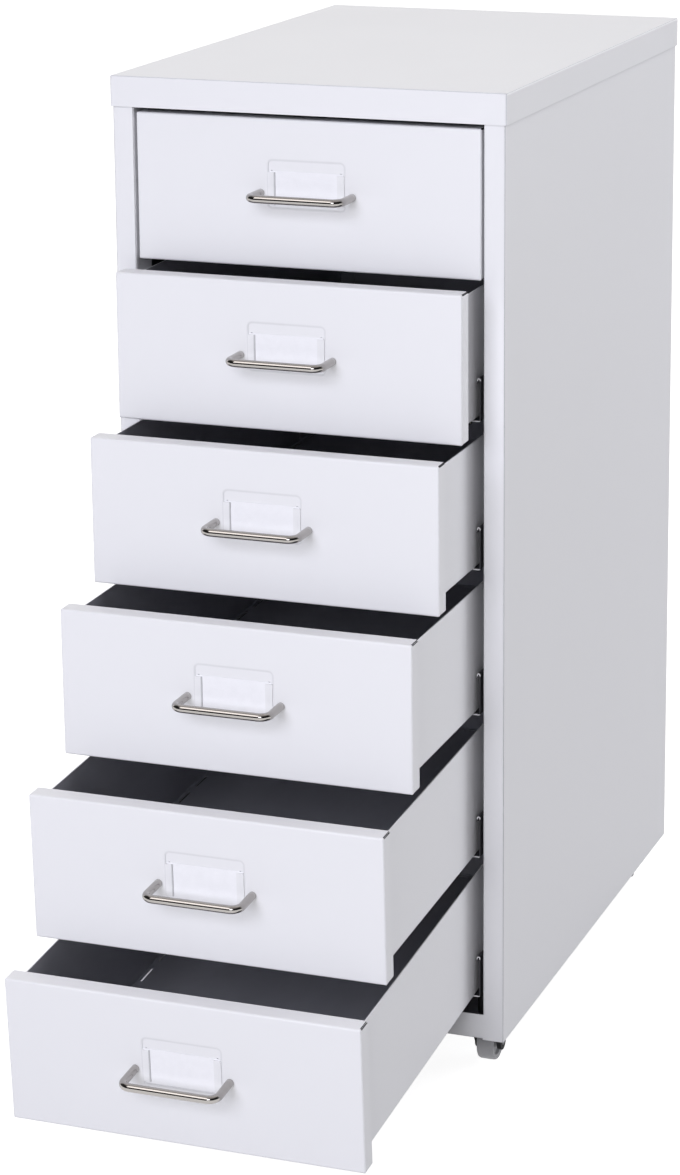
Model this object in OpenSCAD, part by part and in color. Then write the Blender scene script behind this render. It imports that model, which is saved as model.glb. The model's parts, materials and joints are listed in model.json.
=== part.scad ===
// Small steel drawer cabinet on casters: folded-sheet drawers on runners in a folded-sheet case.
// X runs to the right, -Y towards the person who pulls the drawers out, Z up from the floor.
// The origin is on the floor, under the middle of the whole object as it stands with its drawers drawn.

/* [Case] */
// Width over the lid
lid_w = 280; // [250:1:340]
// Depth from the faces of the front posts to the back flanges
case_d = 421; // [400:1:460]
// Height of the lid's folded skirt
lid_h = 21; // [16:0.5:28]
// How far the lid stands out beyond the case on every side
lid_overhang = 1.2; // [1.2:0.1:2.5]
// Thickness of the sheet steel
sheet = 0.8; // [0.6:0.05:0.9]
// Inside radius of the folds
fold_r = 0.8; // [0.6:0.1:1.2]
// Width of the front posts
post_w = 15; // [14:0.5:18]
// Depth of the return behind each front post
post_return = 25; // [22:0.5:30]
// Width of the flanges along the back edges of the side panels
back_flange_w = 13; // [10:0.5:15]
// Width of the flanges that carry the lid
lid_flange_w = 12; // [8:0.5:16]
// Height of the bottom panel's upstand, which is the apron at the front
apron_h = 18; // [14:0.5:24]

/* [Drawers] */
// Height of a drawer front
front_h = 100.4; // [92:0.2:110]
// Depth of a drawer front, from its face to the edge of its folded returns
front_d = 12.5; // [10:0.5:14]
// Gap between a drawer front and the next one
front_gap = 1.6; // [1.2:0.1:3]
// Gap between a drawer front and the posts
side_gap = 1.7; // [1:0.1:3]
// Gap between the top drawer front and the lid
top_gap = 3.2; // [2:0.1:5]
// Gap between the lowest drawer front and the apron
base_gap = 5.4; // [3:0.1:8]
// How far the closed fronts lie behind the faces of the posts
front_setback = 0.8; // [0.4:0.1:1.2]
// Width of the slit at the corners of a front, between its top and side returns
corner_slit = 1.1; // [0.8:0.1:1.6]
// Gap between the back panel and the tray of a closed drawer
tray_back_gap = 8.8; // [2:0.1:20]
// How far the tray's sides lie inside the ends of its front
tray_inset = 4.9; // [4.4:0.1:6]
// How far the tray's rim lies below the top of its front
tray_drop = 5.2; // [4:0.1:10]
// How far the tray's floor lies above the bottom of its front
tray_lift = 7.7; // [6:0.1:9]
// Width of the flanges that join the tray's sides to its front and back
tray_flange_w = 12; // [8:0.5:14]
// Height of the flange that joins the tray's floor to its front
floor_flange_h = 10; // [6:0.5:14]
// Distance from the front of the tray to its first slot
slot_start = 28; // [20:0.5:34]
// How far the rows of slots lie inside the tray's sides and back
slot_inset = 4.2; // [3.5:0.1:6]
// Length of a slot along the tray's fold lines
slot_l = 20; // [14:0.5:24]
// Width of those slots
slot_w = 1.6; // [1:0.1:2]
// Distance from one slot to the next
slot_pitch = 31; // [28:0.5:40]
// How far a drawer can be pulled out before its stops meet
travel = 330; // [300:5:340]

/* [Openings, from the top drawer down] */
// Opening of drawer 1
open_1 = 0; // [0:1:300]
// Opening of drawer 2
open_2 = 39; // [0:1:300]
// Opening of drawer 3
open_3 = 85; // [0:1:300]
// Opening of drawer 4
open_4 = 137; // [0:1:300]
// Opening of drawer 5
open_5 = 188; // [0:1:300]
// Opening of drawer 6
open_6 = 229; // [0:1:300]

/* [Forward tip of the drawers where they are drawn out fully, in degrees] */
// Tip of drawers 1 to 4
tip_upper = 1.65; // [0:0.05:2]
// Tip of drawer 5
tip_5 = 4.55; // [2:0.05:4.8]
// Tip of drawer 6
tip_6 = 5.78; // [4.8:0.02:5.9]

/* [Runners] */
// Height of a runner, from its shelf to the top of its curled lip
guide_h = 29; // [26:0.5:34]
// How far the shelf reaches under the tray
shelf_reach = 12; // [8:0.5:16]
// Gap between a tray and the shelf below it
slide_gap = 0.6; // [0.5:0.05:1]
// Diameter of the rollers that carry a tray at the front of its runners
roller_d = 6; // [5:0.1:7]
// Width of a roller
roller_w = 5; // [3:0.1:5.5]
// Distance from the faces of the posts to the axis of the rollers
roller_y = 8; // [7:0.5:10]
// Diameter of the rollers' pins
pin_d = 2; // [1.5:0.1:2.4]
// Gap between a runner and the side return of a closed front
runner_gap = 0.3; // [0.2:0.05:0.5]
// Inside radius of the runner's curled lip
lip_r = 0.5; // [0.3:0.1:0.7]
// Height of the lip's free edge
lip_edge = 2; // [1:0.1:3]
// Height of a runner's tabs
tab_h = 14; // [10:0.5:15]
// Height of the tabs above the shelf
tab_z = 7; // [6:0.5:9]
// How far the stop tongues stand out of the runners
stop_tongue = 2; // [1.9:0.1:2.2]
// How far the stops on the trays stand out
stop_ear = 1.6; // [1.5:0.1:1.8]
// Height of a stop
stop_h = 7; // [5:0.5:8]
// Height of the stops above the tray's floor
stop_z = 2; // [1.7:0.1:3]
// Gap between a stop and its tongue where a drawer is drawn out fully and level
stop_gap = 1.6; // [1.5:0.1:3]
// Distance from a runner's front window back to its stop tongue
stop_margin = 3; // [1:0.5:8]

/* [Label holders] */
// Width of the pressed recess
holder_w = 54; // [46:0.5:58]
// Height of the pressed recess
holder_h = 32; // [28:0.5:36]
// Distance from the top of the front to the recess
holder_drop = 28; // [24:0.5:32]
// Radius of the recess's top corners
holder_r = 3; // [2:0.1:4]
// Depth of the recess
holder_depth = 0.5; // [0.4:0.05:0.6]
// Width of the two flaps that hold the card
flap_w = 5; // [4:0.25:7]
// Height of the flaps
flap_h = 22; // [18:0.5:24]
// How far the middle of the flaps lies below the middle of the recess
flap_drop = 3; // [0:0.25:4]
// Radius of the relief hole above each flap
flap_hole_r = 0.9; // [0.6:0.05:1.2]
// Thickness of a label card
card_t = 0.3; // [0.2:0.05:0.5]
// Height of a label card
card_h = 24; // [18:0.5:25]
// Clearance all round a label card
card_gap = 0.05; // [0.04:0.01:0.1]

/* [Handles] */
// Distance between the two legs of a handle
handle_span = 65; // [63:0.5:80]
// Diameter of the handle wire
wire_d = 5.5; // [5:0.1:7]
// How far a handle stands out of its front
handle_reach = 27; // [22:0.5:34]
// Radius of a handle's bends, along the middle of the wire
handle_bend = 6.5; // [5:0.5:9]
// Diameter of the handle screws
screw_d = 3; // [2.5:0.1:3.5]
// Diameter of the heads of the handle screws
screw_head_d = 6.5; // [5:0.1:7.5]
// Height of the heads of the handle screws
screw_head_h = 2.4; // [1.8:0.1:3]
// How far a screw reaches into the handle
screw_grip = 8; // [6:0.5:10]

/* [Casters] */
// Diameter of a caster wheel
wheel_d = 27; // [24:0.5:34]
// Width of a caster wheel
wheel_w = 12.4; // [10:0.2:16]
// Thickness of a wheel's rim with its tread
rim_t = 3.5; // [3:0.1:4.5]
// Radius of the tread's edges
tread_r = 1; // [0.6:0.1:1.4]
// Thickness of a wheel's hub round the axle
hub_t = 3; // [2:0.1:4]
// How far a wheel trails behind its swivel axis
trail = 10; // [8:0.5:12]
// Distance from the side of the case to a caster's swivel axis
caster_inset_x = 22.8; // [18:0.2:30]
// Distance from the front or back of the case to a caster's swivel axis
caster_inset_y = 31; // [20:0.5:45]
// Swivel of the two rear casters, towards the middle of the case
rear_swivel = 24; // [0:1:60]
// Thickness of a fork's legs
fork_leg_t = 3; // [2:0.2:4]
// Thickness of a fork's crown
fork_crown_t = 2.9; // [2:0.1:4]
// Radius of the round end of a fork's leg
fork_boss_r = 6; // [5:0.25:7]
// Gap between a wheel and its fork
wheel_gap = 0.4; // [0.3:0.05:0.8]
// Diameter of the axles
axle_d = 3; // [2.5:0.1:4]
// Diameter of the axles' heads
axle_head_d = 5.1; // [4.5:0.1:6]
// Thickness of the axles' heads
axle_head_t = 0.8; // [0.5:0.1:1.2]
// Diameter of the swivel stems
stem_d = 7; // [6:0.1:8]
// Length of the swivel stems
stem_l = 20; // [16:0.5:21]
// Thickness of the sockets' walls
socket_wall = 2; // [1.6:0.1:3]
// Thickness of the sockets' flanges
socket_flange_t = 1.4; // [1:0.1:2]
// Width of the sockets' flanges beyond their barrels
socket_flange_w = 3.5; // [2:0.1:5]
// Radial running clearance of stems and axles
running_gap = 0.05; // [0.02:0.01:0.09]

/* [Hidden] */
$fn = 48;
past = 1;                                  // how far a cut runs past the face that it cuts
slack = 0.3;                               // gap at a stop, and round a tab in its slot

bend = fold_r + sheet;                     // outside radius of a fold
openings = [open_1, open_2, open_3, open_4, open_5, open_6];
drawers = len(openings);

// Across the case, from its middle to the right
skin_out = lid_w / 2 - lid_overhang;
skin_in = skin_out - sheet;
post_in = skin_out - post_w;
front_half = post_in - side_gap;
tray_half = front_half - tray_inset;
runner_out = front_half - sheet - runner_gap;
runner_in = runner_out - sheet;
shelf_in = tray_half - shelf_reach;

// Up the case
socket_z = wheel_d + wheel_gap + fork_crown_t + slack;
base_z = socket_z + socket_flange_t;
apron_z = base_z + apron_h;
pitch = front_h + front_gap;
lid_z = apron_z + base_gap + drawers * pitch - front_gap + top_gap;
total_h = lid_z + lid_h;
case_top = total_h - sheet;
function drawer_z(i) = apron_z + base_gap + (drawers - i) * pitch;
function shelf_z(i) = drawer_z(i) + tray_lift - slide_gap;
function roller_z(i) = drawer_z(i) + tray_lift - running_gap - roller_d / 2;

// A drawn drawer tips forward over its rollers, in step with its opening
full_tips = [tip_upper, tip_upper, tip_upper, tip_upper, tip_5, tip_6];
function tip(i) = full_tips[i - 1] * openings[i - 1] / travel;
function tipped_y(y, z, i) = roller_y + (y - roller_y) * cos(tip(i)) - (z - roller_z(i)) * sin(tip(i));
function handle_y(i) = tipped_y(front_setback - openings[i - 1] - handle_reach + wire_d / 2,
    drawer_z(i) + front_h / 2, i) - wire_d / 2;

// Along the case, from the faces of the front posts backwards
face_y = -(min([for (i = [1:drawers]) handle_y(i)]) + case_d + lid_overhang) / 2;
back_in = case_d - 2 * sheet;
back_out = case_d - sheet;
runner_y = front_setback + 2 * sheet + fold_r;
latch_y = front_setback + front_d + slack;
stop_y = post_return + sheet + stop_margin;

// Trays
tray_l = back_in - front_setback - sheet - tray_back_gap;
tray_h = front_h - tray_drop - tray_lift;
slot_x = tray_half - slot_inset;
ear_y = stop_y + sheet + travel + stop_gap - front_setback;

// Label holders, in the middle of the front's width
holder_top = front_h - holder_drop;
flap_mid = holder_top - holder_h / 2 - flap_drop;
flap_rise = sheet - holder_depth + card_t + 2 * card_gap;
flap_in = holder_w / 2 - flap_w;
card_half = holder_w / 2 - sheet - card_gap;

// Casters
axle_z = wheel_d / 2;
crown_z = wheel_d + wheel_gap;
stem_z = crown_z + fork_crown_t;
fork_in = wheel_w / 2 + wheel_gap;
fork_out = fork_in + fork_leg_t;
socket_r = stem_d / 2 + running_gap + socket_wall;
caster_x = skin_out - caster_inset_x;
casters = [
    ["front_left", -caster_x, caster_inset_y, 0],
    ["front_right", caster_x, caster_inset_y, 0],
    ["rear_left", -caster_x, case_d - caster_inset_y, -rear_swivel],
    ["rear_right", caster_x, case_d - caster_inset_y, rear_swivel]
];

// ---- shared shapes ----

// Stand a flat outline up so that its y points up, and draw it out along Y
module along_y(length) rotate([90, 0, 0]) translate([0, 0, -length]) linear_extrude(length) children();

// Stand a flat outline up so that its x points along Y, and draw it out along X
module along_x(length) rotate([90, 0, 90]) linear_extrude(length) children();

// Keep a shape as it is on the right, or turn it over to the left
module on_side(s) mirror([s < 0 ? 1 : 0, 0, 0]) children();

// Rectangle with four round corners, centred in x
module rounded(w, h, r) {
    translate([-w / 2 + r, 0]) square([w - 2 * r, h]);
    translate([-w / 2, r]) square([w, h - 2 * r]);
    for (x = [-w / 2 + r, w / 2 - r], y = [r, h - r]) translate([x, y]) circle(r);
}

// Rectangle with its two lower corners round, centred in x
module blunt(w, h, r) {
    translate([-w / 2 + r, 0]) square([w - 2 * r, h]);
    translate([-w / 2, r]) square([w, h - r]);
    for (x = [-w / 2 + r, w / 2 - r]) translate([x, r]) circle(r);
}

// Block with a flat bottom and edges of radius r round it
module pan_block(w, l, d, r) intersection() {
    linear_extrude(d) rounded(w, l, r);
    along_y(l) blunt(w, d, r);
    translate([-w / 2, l / 2, 0]) along_x(w) blunt(l, d, r);
}

// Sheet folded up along all four edges: face down at z = 0, centred in x, from y = 0
module pan(w, l, d) difference() {
    pan_block(w, l, d, bend);
    translate([0, sheet, sheet]) pan_block(w - 2 * sheet, l - 2 * sheet, d, fold_r);
}

// Cross-section of one fold: a quarter ring that points to +x and +y before it is turned
module fold(at, turn) translate(at) rotate(turn) intersection() {
    difference() {
        circle(bend);
        circle(fold_r);
    }
    square(bend);
}

module in_case() translate([0, face_y, 0]) children();

module in_drawer(i) in_case() translate([0, roller_y, roller_z(i)]) rotate([tip(i), 0, 0])
    translate([0, front_setback - openings[i - 1] - roller_y, drawer_z(i) - roller_z(i)]) children();

module at_caster(c) in_case() translate([c[1], c[2], 0]) rotate(c[3]) children();

// ---- the case ----

module top_panel() color("whitesmoke") in_case()
    translate([0, -lid_overhang, total_h]) mirror([0, 0, 1])
        pan(lid_w, case_d + 2 * lid_overhang, lid_h);

// Plan of a side panel: skin, front post with its return, back flange
module side_plan() {
    translate([skin_in, bend]) square([sheet, case_d - 2 * bend]);
    fold([skin_out - bend, bend], -90);
    translate([post_in + bend, 0]) square([post_w - 2 * bend, sheet]);
    fold([skin_out - bend, case_d - bend], 0);
    translate([skin_out - back_flange_w, back_out]) square([back_flange_w - bend, sheet]);
}

module side_panel(s) color("white") in_case() on_side(s) {
    translate([0, 0, base_z]) linear_extrude(case_top - bend - base_z) side_plan();
    // the post's inner fold and return start above the apron, which passes behind the post
    translate([0, 0, apron_z + slack]) linear_extrude(case_top - bend - apron_z - slack) {
        fold([post_in + bend, bend], 180);
        translate([post_in, bend]) square([sheet, post_return - bend]);
    }
    translate([0, 0, base_z]) linear_extrude(apron_h + slack)
        translate([post_in, 0]) square([bend, sheet]);
    // flange that the lid rests on
    translate([0, post_return, case_top - bend]) along_y(case_d - post_return - bend) {
        fold([skin_out - bend, 0], 0);
        translate([skin_out - lid_flange_w, bend - sheet]) square([lid_flange_w - bend, sheet]);
    }
}

module back_panel() color("white") in_case() difference() {
    translate([-skin_in + fold_r, back_in, base_z])
        cube([2 * (skin_in - fold_r), sheet, case_top - base_z]);
    // slots for the runners' rear tabs
    for (s = [-1, 1], i = [1:drawers]) on_side(s)
        translate([runner_in - slack, back_in - past, shelf_z(i) + tab_z - slack])
            cube([sheet + 2 * slack, sheet + 2 * past, tab_h + 2 * slack]);
}

module bottom_panel() color("white") in_case() difference() {
    translate([0, sheet, base_z]) pan(2 * skin_in, back_in - sheet, apron_h);
    for (c = casters) translate([c[1], c[2], base_z - past])
        cylinder(h = sheet + 2 * past, r = socket_r + slack / 2);
}

// ---- runners ----

// Cross-section of a runner: shelf, web and curled lip, from the top of the shelf
module runner_section() {
    lip_x = runner_out - sheet - lip_r;
    lip_z = guide_h - sheet - lip_r;
    translate([shelf_in, -sheet]) square([runner_out - bend - shelf_in, sheet]);
    fold([runner_out - bend, bend - sheet], -90);
    translate([runner_in, bend - sheet]) square([sheet, lip_z - bend + sheet]);
    intersection() {
        translate([lip_x, lip_z]) difference() {
            circle(lip_r + sheet);
            circle(lip_r);
        }
        translate([lip_x - lip_r - sheet, lip_z]) square(2 * (lip_r + sheet));
    }
    translate([lip_x - lip_r - sheet, lip_z - lip_edge]) square([sheet, lip_edge]);
}

module runners(i) color("gainsboro") in_case() for (s = [-1, 1]) on_side(s) translate([0, 0, shelf_z(i)]) {
    pad_l = post_return - latch_y;
    axis_z = roller_z(i) - shelf_z(i);
    window_w = roller_w + 4 * running_gap;
    difference() {
        translate([0, runner_y, 0]) along_y(back_in - runner_y) runner_section();
        // window that the front tab was folded out of
        translate([runner_in - past, latch_y + sheet, tab_z])
            cube([sheet + 2 * past, pad_l, tab_h]);
        // window for the roller
        translate([shelf_in + sheet, roller_y - roller_d / 2 - slack, -sheet - past])
            cube([window_w, roller_d + 2 * slack, sheet + 2 * past]);
    }
    // lugs that hold the roller's pin
    for (x = [shelf_in, shelf_in + sheet + window_w]) difference() {
        translate([x, roller_y - roller_d / 2 - slack - sheet, axis_z - pin_d])
            cube([sheet, roller_d + 2 * slack + 2 * sheet, pin_d - axis_z]);
        translate([x - past, roller_y, axis_z]) along_x(sheet + 2 * past) circle(pin_d / 2 + running_gap);
    }
    // front tab: out to the post's return, then flat against it
    translate([runner_in, latch_y, tab_z]) cube([post_in - runner_in, sheet, tab_h]);
    translate([post_in - sheet, latch_y, tab_z]) cube([sheet, pad_l, tab_h]);
    // rear tab: through its slot in the back panel and bent over behind it
    translate([runner_in, back_in, tab_z]) cube([sheet, 2 * sheet, tab_h]);
    translate([runner_out - tab_h, back_out, tab_z]) cube([tab_h, sheet, tab_h]);
    // stop tongue
    translate([runner_in - stop_tongue, stop_y, stop_z + slide_gap])
        cube([stop_tongue + sheet, sheet, stop_h + slack + sheet]);
}

module drawer_rollers(i) color("ivory") in_case() for (s = [-1, 1]) on_side(s)
    translate([shelf_in, roller_y, roller_z(i)]) {
        pin_l = 2 * sheet + roller_w + 4 * running_gap;
        translate([sheet + 2 * running_gap, 0, 0]) along_x(roller_w) circle(roller_d / 2);
        translate([-slack, 0, 0]) along_x(pin_l + 2 * slack) circle(pin_d / 2);
    }

// ---- drawers ----

module front_slits() for (s = [-1, 1], z = [0, front_h - corner_slit])
    translate([s > 0 ? front_half - corner_slit : -front_half, bend, z])
        cube([corner_slit, front_d, corner_slit]);

module holder_outline(grow) {
    w = holder_w + 2 * grow;
    h = holder_h + 2 * grow;
    r = holder_r + grow;
    translate([-w / 2, -grow]) square([w, h - r]);
    translate([-w / 2 + r, -grow]) square([w - 2 * r, h]);
    for (x = [-w / 2 + r, w / 2 - r]) translate([x, h - grow - r]) circle(r);
}

module drawer_front(i) color("white") in_drawer(i) {
    flap_z = flap_mid - flap_h / 2;
    difference() {
        union() {
            difference() {
                mirror([0, 1, 0]) rotate([90, 0, 0]) pan(2 * front_half, front_h, front_d);
                front_slits();
            }
            translate([0, sheet / 2, holder_top - holder_h])
                along_y(sheet / 2 + holder_depth) holder_outline(sheet);
        }
        translate([0, -past, holder_top - holder_h]) along_y(past + holder_depth) holder_outline(0);
        // windows behind the flaps, and the relief holes above them
        for (s = [-1, 1]) on_side(s) {
            translate([flap_in, 0, flap_z]) cube([flap_w - sheet, 2 * sheet, flap_h]);
            translate([flap_in + flap_w / 2, -past, flap_z + flap_h + flap_hole_r / 2])
                along_y(2 * sheet + 2 * past) circle(flap_hole_r);
            // screw holes
            translate([handle_span / 2, -past, front_h / 2])
                along_y(sheet + 2 * past) circle(screw_d / 2 + slack);
        }
    }
    for (s = [-1, 1]) on_side(s) {
        translate([flap_in, -flap_rise, flap_z]) cube([flap_w, sheet, flap_h]);
        translate([holder_w / 2 - sheet, -flap_rise, flap_z]) cube([sheet, flap_rise + sheet, flap_h]);
    }
}

// Cross-section of a tray: floor and two sides
module tray_section() difference() {
    rounded(2 * tray_half, tray_h + bend, bend);
    translate([0, sheet]) rounded(2 * (tray_half - sheet), tray_h + 2 * bend, fold_r);
    translate([-tray_half - past, tray_h]) square([2 * (tray_half + past), 2 * bend]);
}

module drawer_tray(i) color("white") in_drawer(i) translate([0, sheet, tray_lift]) {
    slots = floor((tray_l - slot_start - slot_l) / slot_pitch) + 1;
    cross_slots = floor((2 * slot_x - slot_l) / slot_pitch);
    difference() {
        union() {
            along_y(tray_l) tray_section();
            // back wall
            translate([-tray_half + sheet, tray_l - sheet, sheet])
                cube([2 * (tray_half - sheet), sheet, tray_h - sheet]);
        }
        // rows of slots that the sheet was folded along
        for (s = [-1, 1]) on_side(s) {
            for (k = [0:slots - 1]) translate([slot_x - slot_w / 2, slot_start + k * slot_pitch, -past])
                cube([slot_w, slot_l, sheet + 2 * past]);
            // window that the stop was folded out of
            translate([tray_half - sheet - past, ear_y, stop_z])
                cube([sheet + 2 * past, stop_ear + sheet, stop_h]);
        }
        for (k = [0:cross_slots - 1])
            translate([(k - (cross_slots - 1) / 2) * slot_pitch, tray_l - slot_inset, 0])
                cube([slot_l, slot_w, 2 * (sheet + past)], center = true);
    }
    translate([-tray_half + tray_flange_w + slack, 0, sheet / 2])
        cube([2 * (tray_half - tray_flange_w - slack), sheet, floor_flange_h - sheet / 2]);
    for (s = [-1, 1]) on_side(s) {
        // flanges against the front and against the back wall
        for (y = [0, tray_l - 2 * sheet])
            translate([tray_half - tray_flange_w, y, bend])
                cube([tray_flange_w - sheet / 2, sheet, tray_h - bend - (y > 0 ? 0 : bend)]);
        // stop
        translate([tray_half - sheet, ear_y - sheet, stop_z])
            cube([sheet + stop_ear, sheet, stop_h]);
    }
}

module handle(i) color("silver") in_drawer(i) translate([0, 0, front_h / 2]) {
    leg_l = handle_reach - wire_d / 2 - handle_bend;
    difference() {
        union() {
            for (s = [-1, 1]) on_side(s) {
                translate([handle_span / 2, -leg_l, 0]) along_y(leg_l) circle(wire_d / 2);
                translate([handle_span / 2 - handle_bend, -leg_l, 0]) rotate([0, 0, -90])
                    rotate_extrude(angle = 90) translate([handle_bend, 0]) circle(wire_d / 2);
            }
            translate([-handle_span / 2 + handle_bend, -leg_l - handle_bend, 0])
                along_x(handle_span - 2 * handle_bend) circle(wire_d / 2);
        }
        // threaded holes for the screws
        for (s = [-1, 1]) translate([s * handle_span / 2, -screw_grip - past, 0])
            along_y(screw_grip + 2 * past) circle(screw_d / 2 + running_gap);
    }
}

module handle_screws(i) color("gray") in_drawer(i) for (s = [-1, 1])
    translate([s * handle_span / 2, 0, front_h / 2]) {
        cross_l = 0.6 * screw_head_d;
        cross_w = screw_d / 4;
        translate([0, -screw_grip, 0]) along_y(screw_grip + sheet + screw_head_h / 2) circle(screw_d / 2);
        difference() {
            translate([0, sheet, 0]) along_y(screw_head_h) circle(screw_head_d / 2);
            translate([0, sheet + screw_head_h, 0]) {
                cube([cross_l, screw_head_h, cross_w], center = true);
                cube([cross_w, screw_head_h, cross_l], center = true);
            }
        }
    }

module label_card(i) color("ivory") in_drawer(i)
    translate([-card_half, sheet - flap_rise + card_gap, flap_mid - card_h / 2])
        cube([2 * card_half, card_t, card_h]);

// ---- casters ----

module caster_sockets() color("dimgray") for (c = casters) at_caster(c) difference() {
    union() {
        translate([0, 0, socket_z]) cylinder(h = socket_flange_t, r = socket_r + socket_flange_w);
        translate([0, 0, socket_z]) cylinder(h = socket_flange_t + stem_l + socket_wall, r = socket_r);
    }
    translate([0, 0, socket_z - past])
        cylinder(h = past + socket_flange_t + stem_l, r = stem_d / 2 + running_gap);
}

module fork_side() difference() {
    union() {
        translate([trail, axle_z]) circle(fork_boss_r);
        polygon([
            [trail - fork_boss_r, axle_z], [trail + fork_boss_r, axle_z],
            [trail + fork_boss_r, stem_z], [-fork_boss_r, stem_z]
        ]);
    }
    translate([trail, axle_z]) circle(axle_d / 2 + running_gap);
}

module caster_fork(c) color("black") at_caster(c) {
    for (x = [fork_in, -fork_out]) translate([x, 0, 0]) along_x(fork_leg_t) fork_side();
    translate([0, 0, crown_z]) linear_extrude(fork_crown_t) {
        circle(fork_out);
        translate([-fork_out, 0]) square([2 * fork_out, trail + fork_boss_r]);
    }
    translate([0, 0, stem_z]) cylinder(h = stem_l, r = stem_d / 2);
}

// Half section of a wheel: hub, web and rim, from the axle outwards
module wheel_section() {
    r = wheel_d / 2;
    half = wheel_w / 2;
    rim_r = r - rim_t;
    bore_r = axle_d / 2 + running_gap;
    hub_r = axle_d / 2 + hub_t;
    translate([bore_r, -half]) square([hub_r - bore_r, wheel_w]);
    translate([hub_r - past, -half / 2]) square([rim_r - hub_r + 2 * past, half]);
    translate([rim_r, -half]) square([rim_t - tread_r, wheel_w]);
    translate([rim_r, tread_r - half]) square([rim_t, wheel_w - 2 * tread_r]);
    for (y = [tread_r - half, half - tread_r]) translate([r - tread_r, y]) circle(tread_r);
}

module caster_wheel(c) color("gray") at_caster(c)
    translate([0, trail, axle_z]) rotate([0, 90, 0]) rotate_extrude() wheel_section();

module caster_axle(c) color("silver") at_caster(c) translate([0, trail, axle_z]) rotate([0, 90, 0]) {
    cylinder(h = 2 * fork_out, r = axle_d / 2, center = true);
    for (z = [-fork_out - axle_head_t, fork_out])
        translate([0, 0, z]) cylinder(h = axle_head_t, r = axle_head_d / 2);
}

top_panel();
side_panel(-1);  // left_side_panel
side_panel(1);  // right_side_panel
back_panel();
bottom_panel();
caster_sockets();
for (i = [1:drawers]) {
    runners(i);
    drawer_rollers(i);
    drawer_front(i);
    drawer_tray(i);
    handle(i);
    handle_screws(i);
    label_card(i);
}
for (c = casters) {
    caster_fork(c);
    caster_wheel(c);
    caster_axle(c);
}
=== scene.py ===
# %% [markdown]
# # A narrow steel drawer cabinet on casters
# The real cabinet is cut, folded and spot-welded from thin sheet steel. The sheet is white on its outer face
# and dark grey on its inner face. This lesson loads the solids that were drawn in CAD, gives each of them a
# finish made of shader nodes, builds finer pieces where the solids are too plain, and lights the whole like a
# catalogue picture. Everything is in metres: X runs to the right, -Y towards the viewer, Z up.

# %% Load the solids
import json
from math import atan2, cos, pi, radians, sin

import bmesh
import bpy
from mathutils import Matrix, Vector

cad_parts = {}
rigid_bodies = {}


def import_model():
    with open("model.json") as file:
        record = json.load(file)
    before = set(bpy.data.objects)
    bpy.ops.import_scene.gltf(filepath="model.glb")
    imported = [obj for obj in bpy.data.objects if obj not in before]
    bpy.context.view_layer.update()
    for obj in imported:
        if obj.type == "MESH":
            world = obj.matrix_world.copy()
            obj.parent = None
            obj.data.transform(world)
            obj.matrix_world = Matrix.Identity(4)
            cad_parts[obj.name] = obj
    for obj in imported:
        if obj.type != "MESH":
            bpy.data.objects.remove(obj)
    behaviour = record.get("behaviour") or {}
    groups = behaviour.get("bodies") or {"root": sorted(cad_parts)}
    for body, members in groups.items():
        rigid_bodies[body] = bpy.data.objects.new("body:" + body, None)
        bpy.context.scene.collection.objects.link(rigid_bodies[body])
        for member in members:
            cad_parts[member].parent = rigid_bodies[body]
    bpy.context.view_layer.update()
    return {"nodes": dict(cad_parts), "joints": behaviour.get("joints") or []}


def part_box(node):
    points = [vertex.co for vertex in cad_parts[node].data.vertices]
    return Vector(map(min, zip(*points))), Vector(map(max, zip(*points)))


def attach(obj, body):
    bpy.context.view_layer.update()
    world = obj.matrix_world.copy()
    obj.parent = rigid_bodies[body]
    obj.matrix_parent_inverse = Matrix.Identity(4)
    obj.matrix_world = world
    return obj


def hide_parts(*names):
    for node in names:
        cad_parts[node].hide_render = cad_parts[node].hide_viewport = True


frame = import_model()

nodes = frame["nodes"]
joints = {joint["name"]: joint for joint in frame["joints"]}
scene = bpy.context.scene
drawers = range(1, 7)
MM = 0.001

# %% [markdown]
# ## The camera
# A tall, narrow cabinet looks best through a long lens, which keeps its upright edges nearly parallel. The camera
# stands higher than the lid and to the right. A Track To constraint could aim it, but a turn about the vertical
# and a tilt are plain numbers that always give the same view, so we build the camera's three axes from them. The
# lens shift then moves the frame over the cabinet without turning the camera.

# %% Place the camera
lid_overhang = 1.2 * MM
face_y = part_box("top_panel")[0].y + lid_overhang
to_the_right, in_front, above_floor = 0.78576, 2.00128, 0.99368


def camera_axes(turn, tilt, roll):
    """Columns of a camera's rotation: its right, its up and its back."""
    ahead = Vector((sin(turn) * cos(tilt), cos(turn) * cos(tilt), sin(tilt)))
    right = Vector((cos(turn), -sin(turn), 0))
    above = right.cross(ahead)
    right, above = right * cos(roll) + above * sin(roll), above * cos(roll) - right * sin(roll)
    return Matrix((right, above, -ahead)).transposed()


long_lens = bpy.data.cameras.new("long_lens")
long_lens.lens, long_lens.sensor_width = 100.83, 36
long_lens.shift_x, long_lens.shift_y = -0.0644, -0.1873
long_lens.clip_start, long_lens.clip_end = 0.1, 60
camera = bpy.data.objects.new("camera", long_lens)
scene.collection.objects.link(camera)
turned = camera_axes(turn=-0.34051, tilt=-0.22650, roll=-0.00379).to_4x4()
camera.matrix_world = Matrix.Translation((to_the_right, face_y - in_front, above_floor)) @ turned
scene.camera = camera
print("camera", in_front, "m in front of the lid and", above_floor, "m above the floor")

# %% [markdown]
# ## Where each drawer lies
# A drawn drawer tips a little over its rollers, so nothing on it is level. Its place could be read from the
# points of its solids, but its joints give it exactly: the hinge is the rollers' axis, and the slide is the
# direction it runs in. From the two we build one matrix per drawer. On that matrix a drawer's own coordinates
# are simple: X across, Y inwards from the face of the front, Z up from the front's lower edge.

# %% One matrix per drawer
roller_y, roller_drop, setback = 8 * MM, 4.65 * MM, 0.8 * MM


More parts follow.
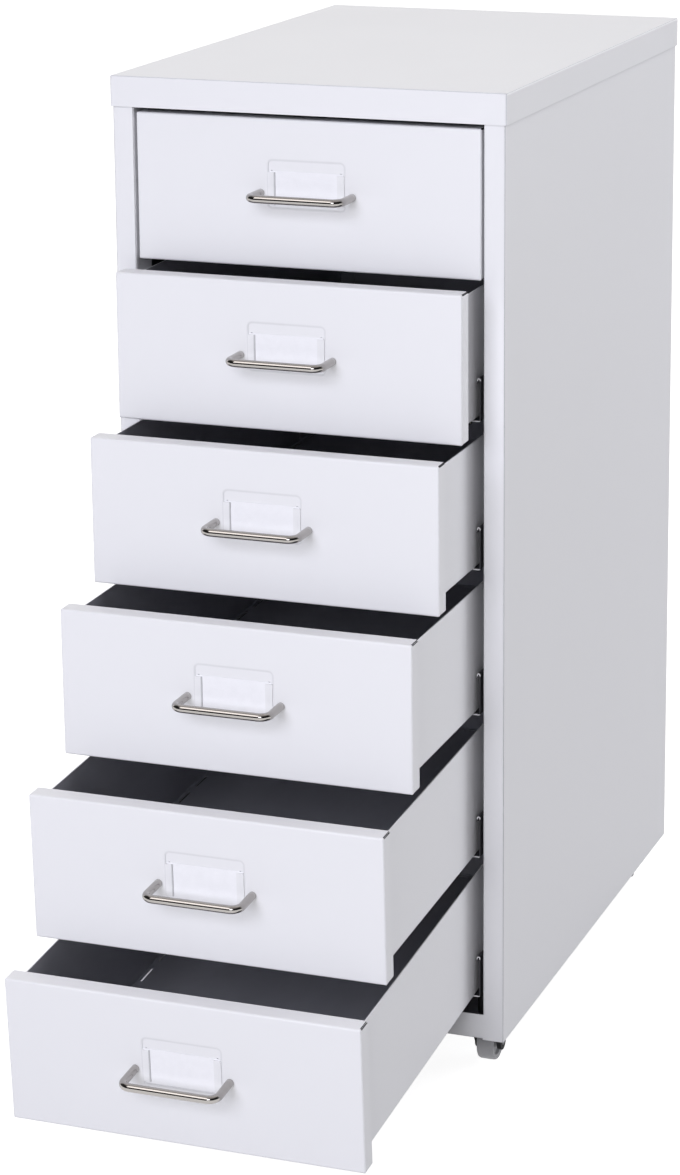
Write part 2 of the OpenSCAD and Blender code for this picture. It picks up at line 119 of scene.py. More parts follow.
def drawer_place(i):
    """Matrix from a drawer's own coordinates to the world, with the drawer as it stands at rest."""
    slide = joints[f"drawer_{i}_slide"]
    tip = atan2(-slide["axis"][2], -slide["axis"][1])
    drawn = -slide["range_m"][0]
    axle = Matrix.Translation(joints[f"drawer_{i}_tip"]["pos_m"])
    from_axle = Matrix.Translation((0, setback - drawn - roller_y, -roller_drop))
    return axle @ Matrix.Rotation(tip, 4, "X") @ from_axle


places = {i: drawer_place(i) for i in drawers}
print("front of drawer 6:", [round(v, 4) for v in places[6].translation])

# %% [markdown]
# ## A short way to write shader nodes
# A finish is a tree of nodes, and drawing one by hand takes many lines. The class below wraps one socket of a
# tree. Adding, subtracting, multiplying or comparing such sockets in Python adds the Math nodes that do it, so
# that a mask reads like the sum that it is. Any other node comes from the method `node`.

# %% The socket class
class Wire:
    """One output socket of a node tree, or a bare tree to start from."""

    def __init__(self, tree, socket=None):
        self.tree, self.socket = tree, socket

    def node(self, kind, settings=None, inputs=None, out=0):
        """Add a node: its settings first, then the values or links of its inputs."""
        made = self.tree.nodes.new(kind)
        for name, value in (settings or {}).items():
            setattr(made, name, value)
        for name, value in (inputs or {}).items():
            if isinstance(value, Wire):
                self.tree.links.new(value.socket, made.inputs[name])
            else:
                made.inputs[name].default_value = value
        return Wire(self.tree, made.outputs[out])

    def math(self, operation, *values):
        return self.node("ShaderNodeMath", {"operation": operation}, dict(enumerate(values)))

    def __add__(self, other):
        return self.math("ADD", self, other)

    def __sub__(self, other):
        return self.math("SUBTRACT", self, other)

    def __rsub__(self, other):
        return self.math("SUBTRACT", other, self)

    def __mul__(self, other):
        return self.math("MULTIPLY", self, other)

    def __gt__(self, other):
        return self.math("GREATER_THAN", self, other)

    def __lt__(self, other):
        return self.math("LESS_THAN", self, other)

    __radd__, __rmul__ = __add__, __mul__

    def size(self):
        return self.math("ABSOLUTE", self)

    def within(self, low, high):
        return (self > low) * (self < high)

    def most(self, other):
        return self.math("MAXIMUM", self, other)

    def least(self, other):
        return self.math("MINIMUM", self, other)

    def hypot(self, other):
        squares = self * self + other * other
        return self.math("SQRT", squares)

    def ramp(self, low, high):
        """0 below low, 1 above high, and a straight slope between them."""
        bounds = {"Value": self, "From Min": low, "From Max": high}
        return self.node("ShaderNodeMapRange", {"clamp": True}, bounds)

    def blend(self, first, second):
        """Mix two colours, with this socket as the factor."""
        factor, a, b, color_out = 0, 6, 7, 2
        colors = {factor: self, a: first, b: second}
        return self.node("ShaderNodeMix", {"data_type": "RGBA"}, colors, color_out)

    def split(self):
        """The three coordinates of a point as three wires."""
        parts = self.node("ShaderNodeSeparateXYZ", inputs={0: self}).socket.node
        return [Wire(self.tree, output) for output in parts.outputs]

    def mottle(self, scale, detail=2.0, stretch=(1, 1, 1)):
        """Noise from 0 to 1 whose spots are about 1 / scale metres wide."""
        spread = self.node("ShaderNodeMapping", inputs={"Vector": self, "Scale": stretch})
        return self.node("ShaderNodeTexNoise", inputs={"Vector": spread, "Scale": scale, "Detail": detail})

    def raised(self, depth, under=None):
        """Normal of a surface whose relief is this socket times depth, in metres."""
        relief = {"Height": self, "Distance": depth}
        if under:
            relief["Normal"] = under
        return self.node("ShaderNodeBump", inputs=relief)


print("socket class ready")

# %% [markdown]
# ## What every finish starts from
# Each finish below needs the same three things: a material, its shader, and the place of each point. UV maps
# could give that place, but each piece would need its own, and the grain would change in scale from piece to
# piece. Object coordinates are metres everywhere. For a tipped drawer they are turned into the drawer's own.

# %% Helpers for finishes
def new_finish(name, axes=None):
    """A new material, its shader, and the place of each point, along axes where they are given."""
    material = bpy.data.materials.new(name)
    material.use_nodes = True
    shader = material.node_tree.nodes["Principled BSDF"]
    place = Wire(material.node_tree).node("ShaderNodeTexCoord", out="Object")
    if axes:
        turn = {"Vector": place, "Location": axes.translation, "Rotation": axes.to_euler()}
        place = place.node("ShaderNodeMapping", {"vector_type": "TEXTURE"}, turn)
    return material, shader, place


def connect(wire, shader, name):
    """Link a wire to the named input of a shader."""
    wire.tree.links.new(wire.socket, shader.inputs[name])


def wear(obj, material):
    """Give an object one material and nothing else."""
    obj.data.materials.clear()
    obj.data.materials.append(material)


print("finish helpers ready")

# %% [markdown]
# ## Pieces in place of solids
# A CAD node that is right stays as it is. Where we want a finer form, a new piece stands for the node: it rides
# on the node's body, and the node is hidden. We could write the two calls for every piece, but one helper makes
# sure that none is forgotten. Another turns a bmesh into an object.

# %% Helpers for pieces
def to_object(name, bm, place=Matrix()):
    """Turn a bmesh into a smooth object whose points are moved to their place in the world."""
    bmesh.ops.transform(bm, matrix=place, verts=bm.verts)
    for face in bm.faces:
        face.smooth = True
    mesh = bpy.data.meshes.new(name)
    bm.to_mesh(mesh)
    bm.free()
    piece = bpy.data.objects.new(name, mesh)
    scene.collection.objects.link(piece)
    return piece


def stand_for(piece, node, body):
    """Let a piece ride on a node's body, and hide the node."""
    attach(piece, body)
    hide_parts(node)


print("piece helpers ready")

# %% [markdown]
# ## Broken edges
# No real edge of painted sheet or moulded plastic is perfectly sharp, and the thin line of light on such an edge
# tells the eye where it is. Modelling each piece again would be long work. A bevel modifier breaks the edges on
# a copy of the solid's own mesh, once the points that lie double are welded and flat areas are single faces.

# %% A solid with softened edges
weld, nearly_flat, sharp = 0.001 * MM, radians(0.5), radians(35)


def softened(node, width):
    """A copy of a node's mesh with every sharp edge broken by a narrow rounded bevel."""
    bm = bmesh.new()
    bm.from_mesh(nodes[node].data)
    bmesh.ops.remove_doubles(bm, verts=bm.verts, dist=weld)
    bmesh.ops.dissolve_limit(bm, angle_limit=nearly_flat, verts=bm.verts, edges=bm.edges)
    piece = to_object(node + "_softened", bm)
    if "custom_normal" in piece.data.attributes:
        piece.data.attributes.remove(piece.data.attributes["custom_normal"])
    bevel = piece.modifiers.new("broken_edges", "BEVEL")
    bevel.width, bevel.segments, bevel.angle_limit = width, 2, sharp
    piece.modifiers.new("evened_normals", "WEIGHTED_NORMAL").weight = 100
    return piece


print("edges sharper than", round(sharp, 2), "radians will be broken")

# %% [markdown]
# ## The coated sheet
# The steel comes as a coil that is already coated: a satin white on one side, a plain dark grey backing coat on
# the other. When it is folded, the white stays outside. The inner faces could have a second material, but a mask
# inside one material is exact up to every edge. The grey given to the backing is lighter than the real coat, as
# painted light for the insides of the drawers, which the lamps hardly reach. The white has a very fine orange
# peel, and the large flat sheets are never quite flat, which softens what they reflect.

# %% The two coats of the sheet
sheet = 0.8 * MM
peel_depth, wave_depth, press_depth = 0.012 * MM, 0.5 * MM, 0.15 * MM
peel_scale, wave_scale, cloud_scale, rub_scale = 900, 6, 9, 40
satin, clouded, duller = 0.36, 0.06, 0.1
white, white_shade = (0.83, 0.83, 0.852, 1), (0.818, 0.818, 0.84, 1)
# Painted shade: a grey for shade lines along grooves and gaps, and near-black for the shade in open slits.
painted_line_shade, painted_slit_shade = (0.55, 0.55, 0.57, 1), (0.02, 0.02, 0.024, 1)
# The real backing coat is dark grey. This grey is lighter, as painted light on the inner faces; its two greys are
# random rubs.
backing_and_painted_light = ((0.43, 0.435, 0.48, 1), (0.46, 0.465, 0.51, 1))
# Painted shade: a much darker copy of the backing, for inner faces in deep shade and for the runners.
painted_shade_grey = ((0.045, 0.046, 0.053, 1), (0.06, 0.061, 0.07, 1))


def coated(name, inside, axes=None, grey=backing_and_painted_light, pressed=None, slits=None):
    """White sheet that shows its grey backing where the mask inside(x, y, z) is 1.

    One more mask adds soft grooves with painted shade along them, and another paints open slits near-black as
    shade.
    """
    material, shader, place = new_finish(name, axes)
    cloud = place.mottle(cloud_scale)
    dark = inside(*place.split())
    rubs = place.mottle(rub_scale, 4, (1, 0.15, 1)).ramp(0.45, 0.8)
    outside = cloud.blend(white, white_shade)
    waves = place.mottle(wave_scale).raised(wave_depth)
    if pressed:
        line = pressed(*place.split())
        # Painted shade along the line, besides its groove.
        outside = line.blend(outside, painted_line_shade)
        waves = line.raised(-press_depth, waves)
    coats = dark.blend(outside, rubs.blend(*grey))
    if slits:
        # Painted shade: the open slits are painted near-black.
        coats = slits(*place.split()).blend(coats, painted_slit_shade)
    connect(coats, shader, "Base Color")
    connect(satin + cloud * clouded + dark * duller, shader, "Roughness")
    connect(place.mottle(peel_scale).raised(peel_depth, waves), shader, "Normal")
    return material


print("sheet", sheet / MM, "mm thick, with", len(backing_and_painted_light), "shades of grey on its back")

# %% [markdown]
# ## The inner side of a folded pan
# Each panel of the case is a shallow pan. Its inner side is what lies further in than the middle of the sheet,
# without end on the side where the pan is open. Faces could be picked by their number instead, but that breaks
# when a solid changes, while this mask follows the solid's box.

# %% Masks for pans
endless = 10


def inner_box(low, high):
    """Mask of the points that lie inside a box."""
    def mask(x, y, z):
        return x.within(low[0], high[0]) * y.within(low[1], high[1]) * z.within(low[2], high[2])
    return mask


def hollow_of(node, opened):
    """Mask of a pan's inner side: its box, less half a sheet, without end on the opened side."""
    low, high = ([*corner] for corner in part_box(node))
    for axis in range(3):
        low[axis] += sheet / 2
        high[axis] -= sheet / 2
    axis, side = opened
    (low if side < 0 else high)[axis] = side * endless
    return inner_box(low, high)


print("masks for pans ready")

# %% [markdown]
# ## The case
# All five panels are white outside. The side panels' inner faces lie in deep shade, so they take a much darker
# grey, as painted shade. The real lid sits on the sides with a hairline of shade under its skirt. A real gap that
# thin would hardly show in a render, so a soft line of painted shade with a faint groove on the side panels stands
# for it.

# %% Coat the case
down, up = (2, -1), (2, 1)
gap_height, gap_shade = 0.9 * MM, 0.4


def under_lid(x, y, z):
    """Painted shade: the thin line of shade along the lower edge of the lid's skirt."""
    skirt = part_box("top_panel")[0].z
    return z.within(skirt - gap_height, skirt) * gap_shade


case_coats = {
    "top_panel": hollow_of("top_panel", down),
    "left_side_panel": hollow_of("left_side_panel", down),
    "right_side_panel": hollow_of("right_side_panel", down),
    "bottom_panel": hollow_of("bottom_panel", up),
    "back_panel": lambda x, y, z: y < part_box("back_panel")[1].y - sheet / 2,
}
for node, inside in case_coats.items():
    # The side panels take painted shade: a darker grey inside, and a line under the lid.
    extras = {"grey": painted_shade_grey, "pressed": under_lid} if "side" in node else {}
    wear(nodes[node], coated(node + "_coat", inside, **extras))
print(len(case_coats), "panels coated")

# %% [markdown]
# ## What is inside on a drawer
# Each front is a shallow pan: white face and returns, dark behind. Each tray is dark inside and white outside,
# and the upper edge of its rim is white as well. A tipped drawer isn't square to the world, so a mask in world
# coordinates would cut across it. We write these masks in the drawer's own coordinates.

# %% The inner sides of fronts and trays
front_half, front_h, tray_half, tray_floor = 122.1 * MM, 100.4 * MM, 117.2 * MM, 8.1 * MM
recess_back, tray_front, tray_back = 0.65 * MM, 1.2 * MM, 409.4 * MM
rim, rim_edge = front_h - 5.2 * MM, 0.1 * MM
front_inside = inner_box(
    (sheet / 2 - front_half, recess_back, sheet / 2),
    (front_half - sheet / 2, endless, front_h - sheet / 2))
tray_inside = inner_box(
    (sheet / 2 - tray_half, tray_front, tray_floor),
    (tray_half - sheet / 2, tray_back, rim - rim_edge))
print("fronts", round(2 * front_half / MM, 1), "x", round(front_h / MM, 1), "mm")

# %% [markdown]
# ## The label recess and the slits
# The press leaves a soft step around the label recess. The solid has the recess itself, and finer rounding would
# cost many faces, so a mask adds the last millimetre of softness as a faint groove with painted shade along it:
# the distance from a rectangle with rounded corners, which is small only near its edge. Two more masks paint open
# gaps dark, as painted shade: the slit beside the left flap, and the slits at the corners where the returns are
# folded towards each other but don't meet.

# %% Masks of the recess and the slits
recess_half, recess_r, recess_mid = (27 * MM, 16 * MM), 3 * MM, 56.4 * MM
flap_edge, flap_low, flap_high = 22 * MM, 42.4 * MM, 64.6 * MM
step_out, step_core, step_end, step_shade = 0.2 * MM, 0.2 * MM, 1.1 * MM, 0.36
slit_out, slit_in, face_skin = 0.8 * MM, 0.4 * MM, 0.05 * MM
corner_slit, behind_fold = 1.15 * MM, 1.6 * MM


def label_shade_lines(x, y, z):
    """Painted shade along the soft step around the label recess, and in the slit beside the left flap."""
    side = x.size() - (recess_half[0] - recess_r)
    rise = (z - recess_mid).size() - (recess_half[1] - recess_r)
    out_x, out_z = side.most(0), rise.most(0)
    edge = out_x.hypot(out_z) + side.most(rise).least(0)
    step = 1 - (edge - recess_r - step_out).size().ramp(step_core, step_end)
    slit = x.within(-flap_edge - slit_out, -flap_edge + slit_in) * z.within(flap_low, flap_high)
    return step * step_shade * (y > -face_skin) + slit


def corner_slits(x, y, z):
    """The open slits between the top and side returns, and between the bottom and side ones, which are painted
    near-black as shade.
    """
    at_side = x.size() > front_half - corner_slit
    at_end = (z - front_h / 2).size() > front_h / 2 - corner_slit
    return at_side * at_end * (y > behind_fold)


print("recess", 2 * recess_half[0] / MM, "x", 2 * recess_half[1] / MM, "mm")

# %% [markdown]
# ## Drawers
# The fronts are the largest faces in view, and the folded edge of thick paint is what catches the light along
# every one of them. So each front is replaced by a softened copy, and the trays, whose edges are hardly seen,
# keep their solids and only get a coat.

# %% Coat fronts and trays
edge_break = 0.25 * MM
for i in drawers:
    front = softened(f"drawer_front_{i}", edge_break)
    stand_for(front, f"drawer_front_{i}", f"drawer_{i}")
    # Each front gets painted shade along its label step and in its slits.
    wear(front, coated(f"front_coat_{i}", front_inside, places[i], pressed=label_shade_lines, slits=corner_slits))
    wear(nodes[f"drawer_tray_{i}"], coated(f"tray_coat_{i}", tray_inside, places[i]))
print(len(drawers), "drawers coated")

# %% [markdown]
# ## Moulded plastic
# Rollers, casters and label cards are all dull and even, with a fine grain that the mould or the paper mill
# leaves. Each could have a tree of its own, but they differ only in colour, roughness and grain, so one function
# makes them all: two sizes of noise lighten the colour, and the finer one is also the relief.

# %% The finish of plastic, rubber and card
def moulded(name, color, rough, grain, depth):
    """Moulded plastic, rubber or card with a fine grain."""
    material, shader, place = new_finish(name)
    spots = place.mottle(grain)
    blotches = place.mottle(grain / 12, 3)
    lighter = tuple(1.15 * c for c in color)
    connect((spots * 0.5 + blotches * 0.5).blend((*color, 1), (*lighter, 1)), shader, "Base Color")
    connect(rough + spots * 0.1, shader, "Roughness")
    connect(spots.raised(depth), shader, "Normal")
    return material


ivory_nylon = moulded("ivory_nylon", (0.62, 0.58, 0.47), 0.35, 900, 0.004 * MM)
print("made", ivory_nylon.name)

# %% [markdown]
# ## The runners
# The runners are folded with the dark side towards the tray, and they lie in deep shade. So each runner is painted
# in the much darker grey of painted shade, white faces too, all but the shelf and the lip at their front ends,
# which show a bright edge. A separate piece for that edge would be a strip under 1 mm wide, so a mask leaves it
# white. The trays roll on small nylon rollers that have yellowed a little.

# %% Coat the runners and the rollers
shelf_rise, web_height = 2.45 * MM, 27 * MM
for i in drawers:
    cut_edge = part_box(f"runners_{i}")[0].y + sheet / 2
    shelf_top = joints[f"drawer_{i}_tip"]["pos_m"][2] + shelf_rise
    web = (shelf_top, shelf_top + web_height)
    # Painted shade: all of the runner but the front ends of shelf and lip takes the dark grey.
    runner = coated(f"runner_coat_{i}", lambda x, y, z: (y > cut_edge).most(z.within(*web)), grey=painted_shade_grey)
    wear(nodes[f"runners_{i}"], runner)
    wear(nodes[f"drawer_rollers_{i}"], ivory_nylon)
print(len(drawers), "pairs of runners coated")

# %% [markdown]
# ## The shape of a handle
# Each handle is one piece of thick wire, bent twice. A curve object with a bevel depth would do, but its rings
# can't be set one by one. So we list the points of the wire's middle line ourselves: two straight legs,
# two quarter circles and the bar. A point every few degrees keeps the reflections smooth.

# %% Bend the wire
wire_r, leg_x, bend_r, reach = 2.75 * MM, 32.5 * MM, 6.5 * MM, 27 * MM


def wire_path(steps=14):
    """Points of the wire's middle line with its radius at each, from the left foot to the right one."""
    leg, foot = reach - wire_r - bend_r, 0.35 * MM
    right_half = [((x * MM, -leg - bend_r, 0), wire_r) for x in (0, 8, 16, 24)]
    for k in range(steps + 1):
        angle = pi / 2 * k / steps
        right_half.append(((leg_x - bend_r + bend_r * sin(angle), -leg - bend_r * cos(angle), 0), wire_r))
    right_half += [((leg_x, -leg * part, 0), wire_r) for part in (0.6, 0.25)]
    right_half += [((leg_x, -foot, 0), wire_r), ((leg_x, 0, 0), wire_r - foot)]
    left_half = [((-x, y, z), r) for (x, y, z), r in reversed(right_half[1:])]
    return left_half + right_half


print("middle line of", len(wire_path()), "points")

# %% [markdown]
# ## From a line to a tube
# At each point of the line we set a ring of points square to the wire, and four-sided faces join each ring to
# the next. The Spin tool could turn the bends and Extrude the straight parts, but one loop does both. The rings
# at the feet are smaller than the others, so the cut ends of the wire aren't sharp.

# %% Sweep a ring along the line
def tube(path, around=40):
    """Sweep a ring along a path that stays in the XY plane."""
    upward = Vector((0, 0, 1))
    bm = bmesh.new()
    rings = []
    for k, (point, radius) in enumerate(path):
        before, after = path[max(k - 1, 0)][0], path[min(k + 1, len(path) - 1)][0]
        ahead = (Vector(after) - Vector(before)).normalized()
        across = ahead.cross(upward).normalized()
        ring = []
        for n in range(around):
            turn = 2 * pi * n / around
            offset = across * cos(turn) + upward * sin(turn)
            ring.append(bm.verts.new(Vector(point) + offset * radius))
        rings.append(ring)
    for one, two in zip(rings, rings[1:]):
        for n in range(around):
            m = (n + 1) % around
            bm.faces.new((one[n], one[m], two[m], two[n]))
    bm.faces.new(reversed(rings[0]))
    bm.faces.new(rings[-1])
    bmesh.ops.recalc_face_normals(bm, faces=bm.faces)
    return bm


print("one handle has", len(wire_path()), "rings")

# %% [markdown]
# ## Nickel and zinc
# The wire is nickel-plated and polished, the screws and rivets are dull zinc. Both are bare metal, so they take
# almost all of their look from what they reflect. Two trees would be nearly the same, so one function makes both.
# Its noise can be drawn out in one direction, which gives the wire the fine lines that a drawing die leaves.

# %% The finish of metal, and the handles
def metal(name, color, rough, scale, depth, stretch=(1, 1, 1)):
    """Bare or plated metal with fine drawing lines."""
    material, shader, place = new_finish(name)
    shader.inputs["Metallic"].default_value = 1.0
    lines = place.mottle(scale, 3.0, stretch)
    darker = tuple(0.9 * c for c in color)
    connect(lines.blend((*color, 1), (*darker, 1)), shader, "Base Color")
    connect(rough + lines * (rough * 0.5), shader, "Roughness")
    connect(lines.raised(depth), shader, "Normal")
    return material


nickel = metal("nickel_wire", (0.42, 0.40, 0.383), 0.05, 300, 0.0002 * MM, (0.1, 1, 1))
zinc = metal("zinc_steel", (0.60, 0.61, 0.63), 0.3, 900, 0.006 * MM)
handle_foot = Matrix.Translation((0, 0, front_h / 2))
handles = []
for i in drawers:
    handle = to_object(f"wire_handle_{i}", tube(wire_path()), places[i] @ handle_foot)
    stand_for(handle, f"handle_{i}", f"drawer_{i}")
    wear(handle, nickel)
    handles.append(handle)
    wear(nodes[f"handle_screws_{i}"], zinc)
print(len(handles), "handles fitted")

# %% [markdown]
# ## Label cards
# A blank card is pushed up behind the two flaps. Card that is held at its sides bows a little, so its face isn't
# evenly bright. A bend modifier would bow the whole width, but only the part between the flaps is free. So we
# place strips across the card ourselves and close them to a solid.

# %% Bow the cards
card_half, card_low, card_high, card_back, card_t = 26.15 * MM, 41.4 * MM, 65.4 * MM, 0.45 * MM, 0.3 * MM


def card_mesh(bow, strips=24):
    """A thin card whose middle stands out by bow."""
    bm = bmesh.new()
    rows = []
    for k in range(strips + 1):
        x = card_half * (2 * k / strips - 1)
        free = max(0, 1 - (x / flap_edge) ** 2)
        y = card_back - bow * free * free
        rows.append([bm.verts.new(corner) for corner in (
            (x, y - card_t, card_low), (x, y - card_t, card_high), (x, y, card_high), (x, y, card_low))])
    for one, two in zip(rows, rows[1:]):
        for n in range(4):
            m = (n + 1) % 4
            bm.faces.new((one[n], two[n], two[m], one[m]))
    bm.faces.new(rows[0])
    bm.faces.new(reversed(rows[-1]))
    bmesh.ops.recalc_face_normals(bm, faces=bm.faces)
    return bm


card_stock = moulded("card_stock", (0.82, 0.82, 0.85), 0.6, 2500, 0.004 * MM)
for i in drawers:
    bow = (0.08 + 0.01 * i) * MM
    card = to_object(f"bowed_card_{i}", card_mesh(bow), places[i])
    card.data.shade_flat()
    stand_for(card, f"label_card_{i}", f"drawer_{i}")
    wear(card, card_stock)
print(len(drawers), "cards bowed")

# %% [markdown]
# ## The shapes of a caster
# A caster has a nylon fork, a rubber-tyred wheel and a riveted axle. Wheel and axle are turned shapes, so one
# profile of radius and width is spun round. A Screw modifier could spin it too, but a short function gives the
# finished mesh at once, for each of the four wheels in its own place. The wheel's side is stepped: a tyre with
# rounded shoulders, a groove, a rim, a sunken disc and a hub.

# %% Spin a profile
def lathe(profile, around=64):
    """Spin a closed profile of (x, radius) pairs, in millimetres, about the X axis."""
    bm = bmesh.new()
    rings = []
    for n in range(around):
        turn = 2 * pi * n / around
        rings.append([bm.verts.new((x * MM, r * MM * cos(turn), r * MM * sin(turn))) for x, r in profile])
    for n in range(around):
        one, two = rings[n], rings[(n + 1) % around]
        for k in range(len(profile)):
            m = (k + 1) % len(profile)
            if profile[k][1] or profile[m][1]:
                bm.faces.new((one[k], two[k], two[m], one[m]))
    bmesh.ops.remove_doubles(bm, verts=bm.verts, dist=weld)
    bmesh.ops.recalc_face_normals(bm, faces=bm.faces)
    return bm


def both_sides(half):
    """A closed profile from its right half."""
    return half + [(-x, r) for x, r in reversed(half)]


wheel_profile = both_sides([
    (6.2, 1.6), (6.2, 3.6), (5.9, 4.4), (3.4, 4.7), (3.2, 5.1), (3.2, 9.0), (3.5, 9.5), (5.4, 9.8), (5.8, 10.2),
    (5.8, 10.9), (5.5, 11.1), (5.5, 11.3), (6.0, 11.5), (6.15, 12.3), (5.9, 12.9), (5.2, 13.3), (4.2, 13.44),
    (2.0, 13.5)])
fork_out, shaft, head, dome = 9.6, 1.5, 2.5, 0.75
axle_profile = both_sides([
    (fork_out + dome, 0), (fork_out + 0.9 * dome, 1.0), (fork_out + 0.6 * dome, 1.9), (fork_out + 0.2 * dome, head),
    (fork_out, head), (fork_out, shaft)])
print("profiles of", len(wheel_profile), "and", len(axle_profile), "points")

# %% [markdown]
# ## Fit the casters
# Each wheel and axle is turned at the origin. It could be placed by measuring the solids, but the wheel's joint
# already gives its centre and the direction of its axle. The fork keeps the solid's form with softened edges.

# %% Place wheels, axles and forks
tread = moulded("grey_tread", (0.165, 0.165, 0.175), 0.45, 1500, 0.02 * MM)
black_nylon = moulded("black_nylon", (0.02, 0.02, 0.022), 0.38, 1200, 0.008 * MM)
fork_break = 0.4 * MM
wheels = []
for corner in ("front_left", "front_right", "rear_left", "rear_right"):
    wheel_joint = next(joint for joint in joints.values() if joint["child"] == f"wheel_{corner}")
    swivel, axis = wheel_joint["parent"], Vector(wheel_joint["axis"])
    hub = Matrix.Translation(wheel_joint["pos_m"]) @ Matrix.Rotation(atan2(axis.y, axis.x), 4, "Z")
    wheel = to_object(f"tyred_wheel_{corner}", lathe(wheel_profile), hub)
    stand_for(wheel, f"caster_wheel_{corner}", f"wheel_{corner}")
    wear(wheel, tread)
    wheels.append(wheel)
    axle = to_object(f"riveted_axle_{corner}", lathe(axle_profile, 32), hub)
    stand_for(axle, f"caster_axle_{corner}", swivel)
    wear(axle, zinc)
    fork = softened(f"caster_fork_{corner}", fork_break)
    stand_for(fork, f"caster_fork_{corner}", swivel)
    wear(fork, black_nylon)
wear(nodes["caster_sockets"], black_nylon)
print(len(wheels), "casters fitted")

# %% [markdown]
# ## The floor
# A catalogue picture has no horizon: the floor is as white as what is behind it, and shows hardly any shadow.
# Lamps alone could make it white, but then they would be far too strong for the cabinet. So the floor glows.
# Light linking keeps the glow off the cabinet, whose lower parts would lose their shade, and lets it reach only
# the polished handles, which need something bright to reflect from below, and the wheels.

# %% Lay the floor
half_floor, floor_glow = 30, 0.9


def neutral(level):
    """A colour without hue."""
    return (level, level, level, 1)


bm = bmesh.new()
bmesh.ops.create_grid(bm, x_segments=1, y_segments=1, size=half_floor)
floor = to_object("floor", bm)
pale_floor, shader, place = new_finish("pale_floor")
connect(place.mottle(2).blend(neutral(0.41), neutral(0.43)), shader, "Base Color")
shader.inputs["Roughness"].default_value = 0.9
shader.inputs["Specular IOR Level"].default_value = 0.0
shader.inputs["Emission Color"].default_value = neutral(1)
shader.inputs["Emission Strength"].default_value = floor_glow
wear(floor, pale_floor)
glowed_on = bpy.data.collections.new("lit_by_the_floor")
for piece in handles + wheels:
    glowed_on.objects.link(piece)
floor.light_linking.receiver_collection = glowed_on

# %% [markdown]
# ## The backdrop
# In a low view the camera looks past the end of the floor at the sky, part of which has to be dark. A flat wall
# would hide it on one side only, so a tall ring of white paper stands all round. Only the camera sees the ring,
# so it changes neither light nor reflections.

# %% Hang the backdrop
ring_r, ring_h, paper_glow = 29, 24, 1.1
bm = bmesh.new()
bmesh.ops.create_cone(bm, segments=96, radius1=ring_r, radius2=ring_r, depth=ring_h)
bmesh.ops.translate(bm, verts=bm.verts, vec=(0, 0, ring_h / 2))
backdrop = to_object("backdrop", bm)
paper, shader, place = new_finish("backdrop_paper")
connect(place.mottle(1).blend(neutral(0.93), neutral(0.95)), shader, "Emission Color")
shader.inputs["Base Color"].default_value = neutral(0)
shader.inputs["Emission Strength"].default_value = paper_glow
shader.inputs["Specular IOR Level"].default_value = 0.0
paper.cycles.emission_sampling = "NONE"
wear(backdrop, paper)
backdrop.visible_diffuse = backdrop.visible_glossy = backdrop.visible_shadow = False
print("backdrop", ring_h, "m high")

# %% [markdown]
# ## The dark board
# Polished wire among white things looks like white plastic. In a studio, a black card just out of view gives it
# the dark line that says metal. A darker nickel would be dark all over instead. Our board stands low in front of
# the cabinet, and only reflections see it.

# %% Stand up the dark board
board_y, board_half_w, board_half_h = -2.6, 6, 0.33
bm = bmesh.new()
bmesh.ops.create_grid(bm, x_segments=1, y_segments=1, size=1)
stretched = Matrix.Diagonal((board_half_w, board_half_h, 1, 1))
upright = Matrix.Translation((0, board_y, board_half_h)) @ Matrix.Rotation(radians(90), 4, "X") @ stretched
dark_board = to_object("dark_board", bm, upright)
black_felt, shader, place = new_finish("black_felt")
connect(place.mottle(40).blend(neutral(0.02), neutral(0.03)), shader, "Base Color")
shader.inputs["Roughness"].default_value = 1.0
wear(dark_board, black_felt)
dark_board.visible_camera = dark_board.visible_diffuse = dark_board.visible_shadow = False
print("dark board", 2 * board_half_w, "m wide and", 2 * board_half_h, "m high")

# %% [markdown]
# ## The sky
# The sky is the soft light that comes from everywhere. An even one would flatten the cabinet. Ours is nearly
# black in front near the horizon, where lamps do the work, grey overhead, and bright behind, which gives the
# lid its shine. A picture of a real studio could do this, but a sky depends on nothing but direction, and two
# ramps are enough: one over the height of the direction, and one from front to rear.

# %% Light the sky
dark_sky, overhead_sky, rear_sky = neutral(0.03), (0.64, 0.61, 0.60, 1), neutral(1.2)
sky = bpy.data.worlds.new("studio")
sky.use_nodes = True
scene.world = sky
_, behind, height = Wire(sky.node_tree).node("ShaderNodeTexCoord", out="Generated").split()
front_sky = height.ramp(0.72, 0.86).blend(dark_sky, overhead_sky)
light_field = behind.ramp(0.0, 0.5).blend(front_sky, rear_sky)
connect(light_field, sky.node_tree.nodes["Background"], "Color")
print("sky lit by", len(sky.node_tree.nodes), "nodes")

# %% [markdown]
# ## The lamps
# Large flat lamps stand for softboxes, because small ones would draw hard shadows. Two in front light the drawer
# fronts, one from the right rear and a weak one beside it light the right side, one fills the left side, and a
# low one lights what lies in the shade of the drawers. The strip is for handles and wheels alone.

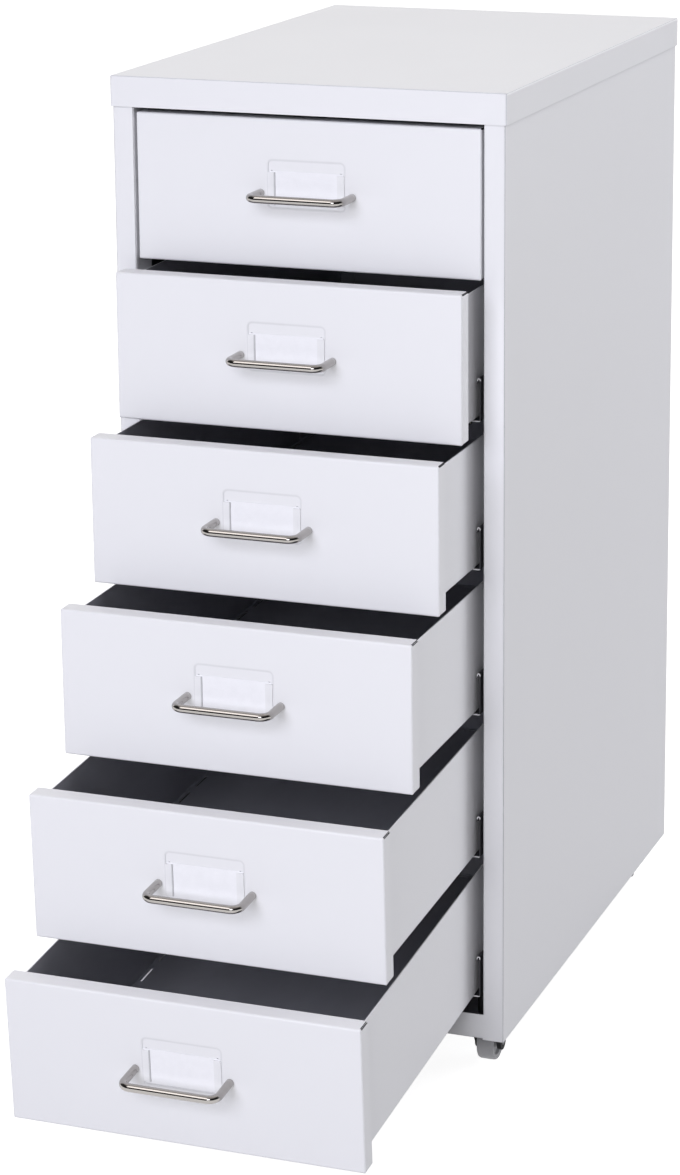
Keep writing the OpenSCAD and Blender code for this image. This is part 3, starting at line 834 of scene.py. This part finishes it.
# %% Set up the softboxes
def softbox(name, place, aim, size, power, color=(1, 1, 1)):
    """A large flat lamp at place that points to aim, with its size in metres and its power in watts."""
    lamp = bpy.data.lights.new(name, "AREA")
    lamp.shape = "RECTANGLE"
    lamp.size, lamp.size_y = size
    lamp.energy = power
    lamp.color = color
    stand = bpy.data.objects.new(name, lamp)
    scene.collection.objects.link(stand)
    stand.location = place
    stand.rotation_euler = (Vector(aim) - Vector(place)).to_track_quat("-Z", "Y").to_euler()
    return stand


middle, right_side, left_side = (0, -0.1, 0.35), (0.1, 0.1, 0.35), (-0.1, 0.1, 0.35)
open_drawers, low_drawers = (0, -0.3, 0.4), (0, -0.3, 0.3)
left_box = softbox("left_box", (-0.62, -4.53, 2.19), middle, (1.8, 2.25), 76, (0.985, 1.0, 1.14))
softbox("right_box", (0.79, -4.53, 2.19), middle, (1.8, 2.25), 58, (1.0, 1.0, 1.05))
softbox("side_box", (3.7, 3.0, 0.8), right_side, (2.2, 1.6), 76, (0.99, 1.0, 1.06))
softbox("rear_box", (3.0, 4.2, 0.6), right_side, (2.5, 1.6), 6)
softbox("fill_box", (-3.6, 1.6, 1.3), left_side, (2.2, 1.6), 22)
strip = softbox("handle_strip", (-1.65, -4.0, 4.2), open_drawers, (2.6, 3.0), 60, (1.0, 0.965, 0.95))
low_box = softbox("low_box", (0.1, -2.5, 0.4), low_drawers, (1.6, 0.5), 13.2)
scene.view_settings.view_transform = "Standard"
print(len(bpy.data.lights), "lamps set up")

# %% [markdown]
# ## Which lamp lights what
# A lamp that is right for the white sheet may wipe out the dark line on a handle, and the low lamp would throw
# each handle's shadow on its label card. Moving the lamps would spoil the sheet again. Light linking lists the
# handles once, as the pieces that are left out, and the lamps use that list.

# %% Link the lights
strip.light_linking.receiver_collection = glowed_on
not_handles = bpy.data.collections.new("all_but_the_handles")
for handle in handles:
    not_handles.objects.link(handle)
for entry in not_handles.collection_objects:
    entry.light_linking.link_state = "EXCLUDE"
for lamp in (left_box, low_box):
    lamp.light_linking.receiver_collection = not_handles
low_box.light_linking.blocker_collection = not_handles
